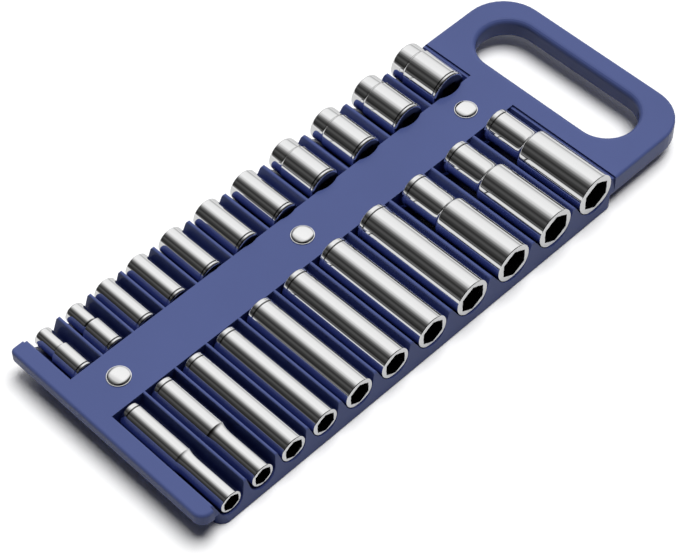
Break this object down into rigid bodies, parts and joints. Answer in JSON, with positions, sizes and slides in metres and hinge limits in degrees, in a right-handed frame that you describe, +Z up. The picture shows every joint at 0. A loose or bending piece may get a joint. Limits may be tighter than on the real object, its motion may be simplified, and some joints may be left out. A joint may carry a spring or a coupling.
{
  "type": "magnetic socket tray",
  "caption": "Blue magnetic socket tray with carry handle: a riveted spine between a row of deep and a row of short chrome drive sockets, each lying in its own pocket.",
  "frame": {"origin": "middle of the footprint, on the surface the tray lies on", "axes": "+X along the tray towards the handle, +Y towards the row of short sockets, +Z up"},
  "size_m": [0.25, 0.0988, 0.0214],
  "materials": {
    "tray_plastic": "satin blue moulding",
    "cover_plastic": "fine matt texture",
    "rivet_metal": "bright plated",
    "magnet": "bonded magnet strip",
    "socket_chrome": "polished chrome"
  },
  "bodies": {
    "tray": {"tray": "tray_plastic", "cover": "cover_plastic", "rivets": "rivet_metal", "magnet_strip_mouths": "magnet", "magnet_strip_drives": "magnet", "magnet_strip_short_row": "magnet"},
    "deep_socket_1_body": {"deep_socket_1": "socket_chrome"},
    "deep_socket_2_body": {"deep_socket_2": "socket_chrome"},
    "deep_socket_3_body": {"deep_socket_3": "socket_chrome"},
    "deep_socket_4_body": {"deep_socket_4": "socket_chrome"},
    "deep_socket_5_body": {"deep_socket_5": "socket_chrome"},
    "deep_socket_6_body": {"deep_socket_6": "socket_chrome"},
    "deep_socket_7_body": {"deep_socket_7": "socket_chrome"},
    "deep_socket_8_body": {"deep_socket_8": "socket_chrome"},
    "deep_socket_9_body": {"deep_socket_9": "socket_chrome"},
    "deep_socket_10_body": {"deep_socket_10": "socket_chrome"},
    "deep_socket_11_body": {"deep_socket_11": "socket_chrome"},
    "short_socket_1_body": {"short_socket_1": "socket_chrome"},
    "short_socket_2_body": {"short_socket_2": "socket_chrome"},
    "short_socket_3_body": {"short_socket_3": "socket_chrome"},
    "short_socket_4_body": {"short_socket_4": "socket_chrome"},
    "short_socket_5_body": {"short_socket_5": "socket_chrome"},
    "short_socket_6_body": {"short_socket_6": "socket_chrome"},
    "short_socket_7_body": {"short_socket_7": "socket_chrome"},
    "short_socket_8_body": {"short_socket_8": "socket_chrome"},
    "short_socket_9_body": {"short_socket_9": "socket_chrome"},
    "short_socket_10_body": {"short_socket_10": "socket_chrome"},
    "short_socket_11_body": {"short_socket_11": "socket_chrome"}
  },
  "joints": [
    {"name": "deep_socket_1_lift", "type": "slide", "parent": "tray", "child": "deep_socket_1_body", "axis": [0, 0, 1], "range_m": [0, 0.03]},
    {"name": "deep_socket_2_lift", "type": "slide", "parent": "tray", "child": "deep_socket_2_body", "axis": [0, 0, 1], "range_m": [0, 0.03]},
    {"name": "deep_socket_3_lift", "type": "slide", "parent": "tray", "child": "deep_socket_3_body", "axis": [0, 0, 1], "range_m": [0, 0.03]},
    {"name": "deep_socket_4_lift", "type": "slide", "parent": "tray", "child": "deep_socket_4_body", "axis": [0, 0, 1], "range_m": [0, 0.03]},
    {"name": "deep_socket_5_lift", "type": "slide", "parent": "tray", "child": "deep_socket_5_body", "axis": [0, 0, 1], "range_m": [0, 0.03]},
    {"name": "deep_socket_6_lift", "type": "slide", "parent": "tray", "child": "deep_socket_6_body", "axis": [0, 0, 1], "range_m": [0, 0.03]},
    {"name": "deep_socket_7_lift", "type": "slide", "parent": "tray", "child": "deep_socket_7_body", "axis": [0, 0, 1], "range_m": [0, 0.03]},
    {"name": "deep_socket_8_lift", "type": "slide", "parent": "tray", "child": "deep_socket_8_body", "axis": [0, 0, 1], "range_m": [0, 0.03]},
    {"name": "deep_socket_9_lift", "type": "slide", "parent": "tray", "child": "deep_socket_9_body", "axis": [0, 0, 1], "range_m": [0, 0.03]},
    {"name": "deep_socket_10_lift", "type": "slide", "parent": "tray", "child": "deep_socket_10_body", "axis": [0, 0, 1], "range_m": [0, 0.03]},
    {"name": "deep_socket_11_lift", "type": "slide", "parent": "tray", "child": "deep_socket_11_body", "axis": [0, 0, 1], "range_m": [0, 0.03]},
    {"name": "short_socket_1_lift", "type": "slide", "parent": "tray", "child": "short_socket_1_body", "axis": [0, 0, 1], "range_m": [0, 0.03]},
    {"name": "short_socket_2_lift", "type": "slide", "parent": "tray", "child": "short_socket_2_body", "axis": [0, 0, 1], "range_m": [0, 0.03]},
    {"name": "short_socket_3_lift", "type": "slide", "parent": "tray", "child": "short_socket_3_body", "axis": [0, 0, 1], "range_m": [0, 0.03]},
    {"name": "short_socket_4_lift", "type": "slide", "parent": "tray", "child": "short_socket_4_body", "axis": [0, 0, 1], "range_m": [0, 0.03]},
    {"name": "short_socket_5_lift", "type": "slide", "parent": "tray", "child": "short_socket_5_body", "axis": [0, 0, 1], "range_m": [0, 0.03]},
    {"name": "short_socket_6_lift", "type": "slide", "parent": "tray", "child": "short_socket_6_body", "axis": [0, 0, 1], "range_m": [0, 0.03]},
    {"name": "short_socket_7_lift", "type": "slide", "parent": "tray", "child": "short_socket_7_body", "axis": [0, 0, 1], "range_m": [0, 0.03]},
    {"name": "short_socket_8_lift", "type": "slide", "parent": "tray", "child": "short_socket_8_body", "axis": [0, 0, 1], "range_m": [0, 0.03]},
    {"name": "short_socket_9_lift", "type": "slide", "parent": "tray", "child": "short_socket_9_body", "axis": [0, 0, 1], "range_m": [0, 0.03]},
    {"name": "short_socket_10_lift", "type": "slide", "parent": "tray", "child": "short_socket_10_body", "axis": [0, 0, 1], "range_m": [0, 0.03]},
    {"name": "short_socket_11_lift", "type": "slide", "parent": "tray", "child": "short_socket_11_body", "axis": [0, 0, 1], "range_m": [0, 0.03]}
  ]
}
